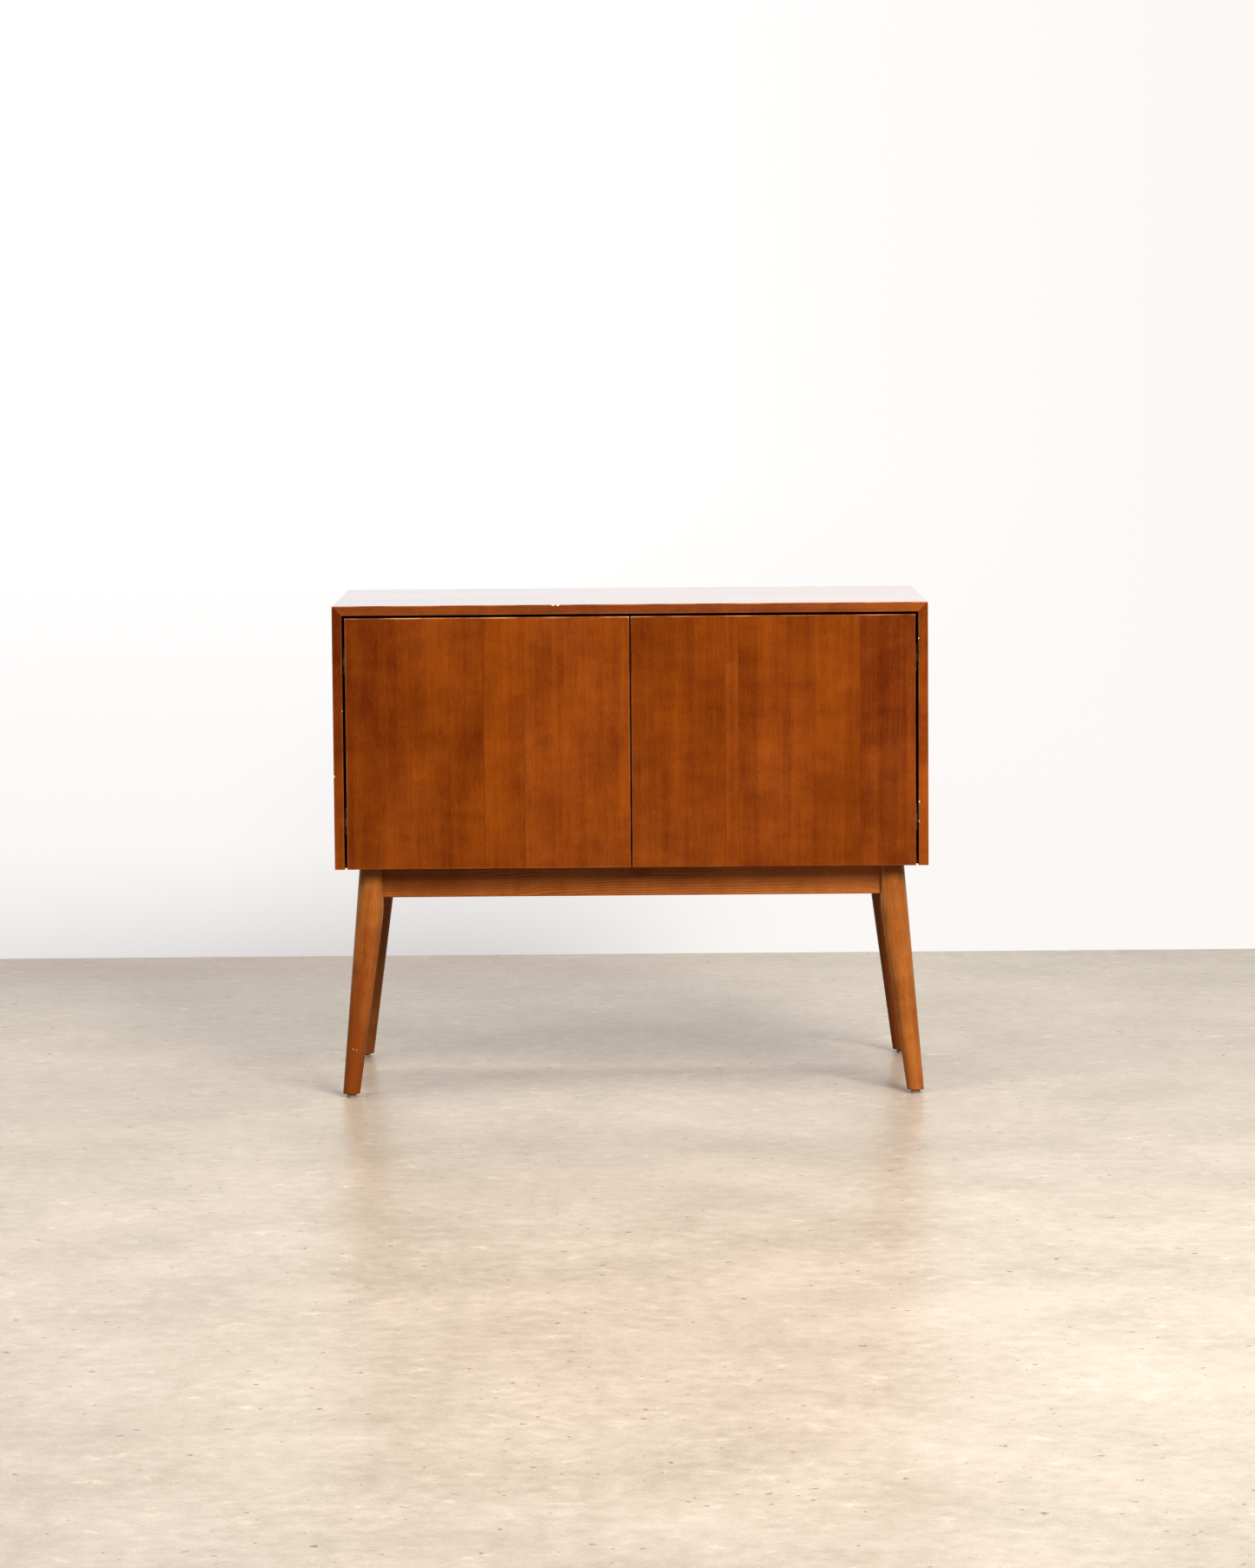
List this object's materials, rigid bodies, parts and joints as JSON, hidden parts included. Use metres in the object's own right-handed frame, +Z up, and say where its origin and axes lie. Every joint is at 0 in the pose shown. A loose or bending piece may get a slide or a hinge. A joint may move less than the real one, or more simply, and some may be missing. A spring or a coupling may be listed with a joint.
{
  "type": "sideboard buffet",
  "caption": "Two-door sideboard: a mitred wooden case with inset flat doors on concealed hinges, raised on a rail base with splayed turned legs and adjustable feet.",
  "frame": {"origin": "on the floor, under the middle of the case", "axes": "+X to the right along the width, +Y to the back through the depth, +Z up; the doors face -Y"},
  "size_m": [0.9144, 0.4572, 0.762],
  "materials": {
    "case_wood": "satin lacquered reddish-brown veneer with matching edge banding",
    "door_veneer": "satin lacquered straight-grained veneer, grain upright",
    "rail_wood": "satin lacquered solid wood, grain along the rail",
    "leg_wood": "satin lacquered turned solid wood",
    "back_board": "matt stained plywood",
    "raw_wood": "unfinished hardwood",
    "screw_steel": "zinc plated",
    "nickel_steel": "nickel plated, satin",
    "catch_plastic": "brown moulded plastic",
    "magnet": "dark ferrite with steel poles",
    "bumper_plastic": "translucent soft plastic",
    "leveler_plastic": "grey-brown moulded nylon"
  },
  "bodies": {
    "case": {"back_panel": "back_board", "back_panel_screws": "screw_steel", "base_screws": "screw_steel", "bottom_panel": "case_wood", "case_dowels": "raw_wood", "catch_housings": "catch_plastic", "catch_magnets": "magnet", "catch_screws": "screw_steel", "corner_block_screws": "screw_steel", "corner_blocks": "raw_wood", "door_bumpers": "bumper_plastic", "front_left_leg": "leg_wood", "front_rail": "rail_wood", "front_right_leg": "leg_wood", "hinge_arm_screws": "screw_steel", "left_end_rail": "rail_wood", "left_lower_hinge_arm": "nickel_steel", "left_lower_mounting_plate": "nickel_steel", "left_side_panel": "case_wood", "left_upper_hinge_arm": "nickel_steel", "left_upper_mounting_plate": "nickel_steel", "leg_bolt_nuts": "screw_steel", "leg_hanger_bolts": "screw_steel", "leveler_inserts": "screw_steel", "mitre_splines": "raw_wood", "mounting_plate_screws": "screw_steel", "rear_left_leg": "leg_wood", "rear_rail": "rail_wood", "rear_right_leg": "leg_wood", "right_end_rail": "rail_wood", "right_lower_hinge_arm": "nickel_steel", "right_lower_mounting_plate": "nickel_steel", "right_side_panel": "case_wood", "right_upper_hinge_arm": "nickel_steel", "right_upper_mounting_plate": "nickel_steel", "shelf": "case_wood", "shelf_pins": "nickel_steel", "top_panel": "case_wood"},
    "left_door": {"left_door": "door_veneer", "left_strike_plate": "nickel_steel", "left_door_screws": "screw_steel", "left_lower_hinge_cup": "nickel_steel", "left_lower_hinge_pin": "nickel_steel", "left_upper_hinge_cup": "nickel_steel", "left_upper_hinge_pin": "nickel_steel"},
    "right_door": {"right_door": "door_veneer", "right_strike_plate": "nickel_steel", "right_door_screws": "screw_steel", "right_lower_hinge_cup": "nickel_steel", "right_lower_hinge_pin": "nickel_steel", "right_upper_hinge_cup": "nickel_steel", "right_upper_hinge_pin": "nickel_steel"},
    "front_left_leveler": {"front_left_leveler_pad": "leveler_plastic", "front_left_leveler_stud": "screw_steel"},
    "front_right_leveler": {"front_right_leveler_pad": "leveler_plastic", "front_right_leveler_stud": "screw_steel"},
    "rear_left_leveler": {"rear_left_leveler_pad": "leveler_plastic", "rear_left_leveler_stud": "screw_steel"},
    "rear_right_leveler": {"rear_right_leveler_pad": "leveler_plastic", "rear_right_leveler_stud": "screw_steel"}
  },
  "joints": [
    {"name": "left_door_hinge", "type": "hinge", "parent": "case", "child": "left_door", "pos_m": [-0.4262, -0.219, 0.5494], "axis": [0, 0, -1], "range_deg": [0, 95]},
    {"name": "right_door_hinge", "type": "hinge", "parent": "case", "child": "right_door", "pos_m": [0.4262, -0.219, 0.5494], "axis": [0, 0, 1], "range_deg": [0, 95]},
    {"name": "front_left_leveler_travel", "type": "slide", "parent": "case", "child": "front_left_leveler", "axis": [0, 0, -1], "range_m": [0, 0.008]},
    {"name": "front_right_leveler_travel", "type": "slide", "parent": "case", "child": "front_right_leveler", "axis": [0, 0, -1], "range_m": [0, 0.008]},
    {"name": "rear_left_leveler_travel", "type": "slide", "parent": "case", "child": "rear_left_leveler", "axis": [0, 0, -1], "range_m": [0, 0.008]},
    {"name": "rear_right_leveler_travel", "type": "slide", "parent": "case", "child": "rear_right_leveler", "axis": [0, 0, -1], "range_m": [0, 0.008]}
  ]
}
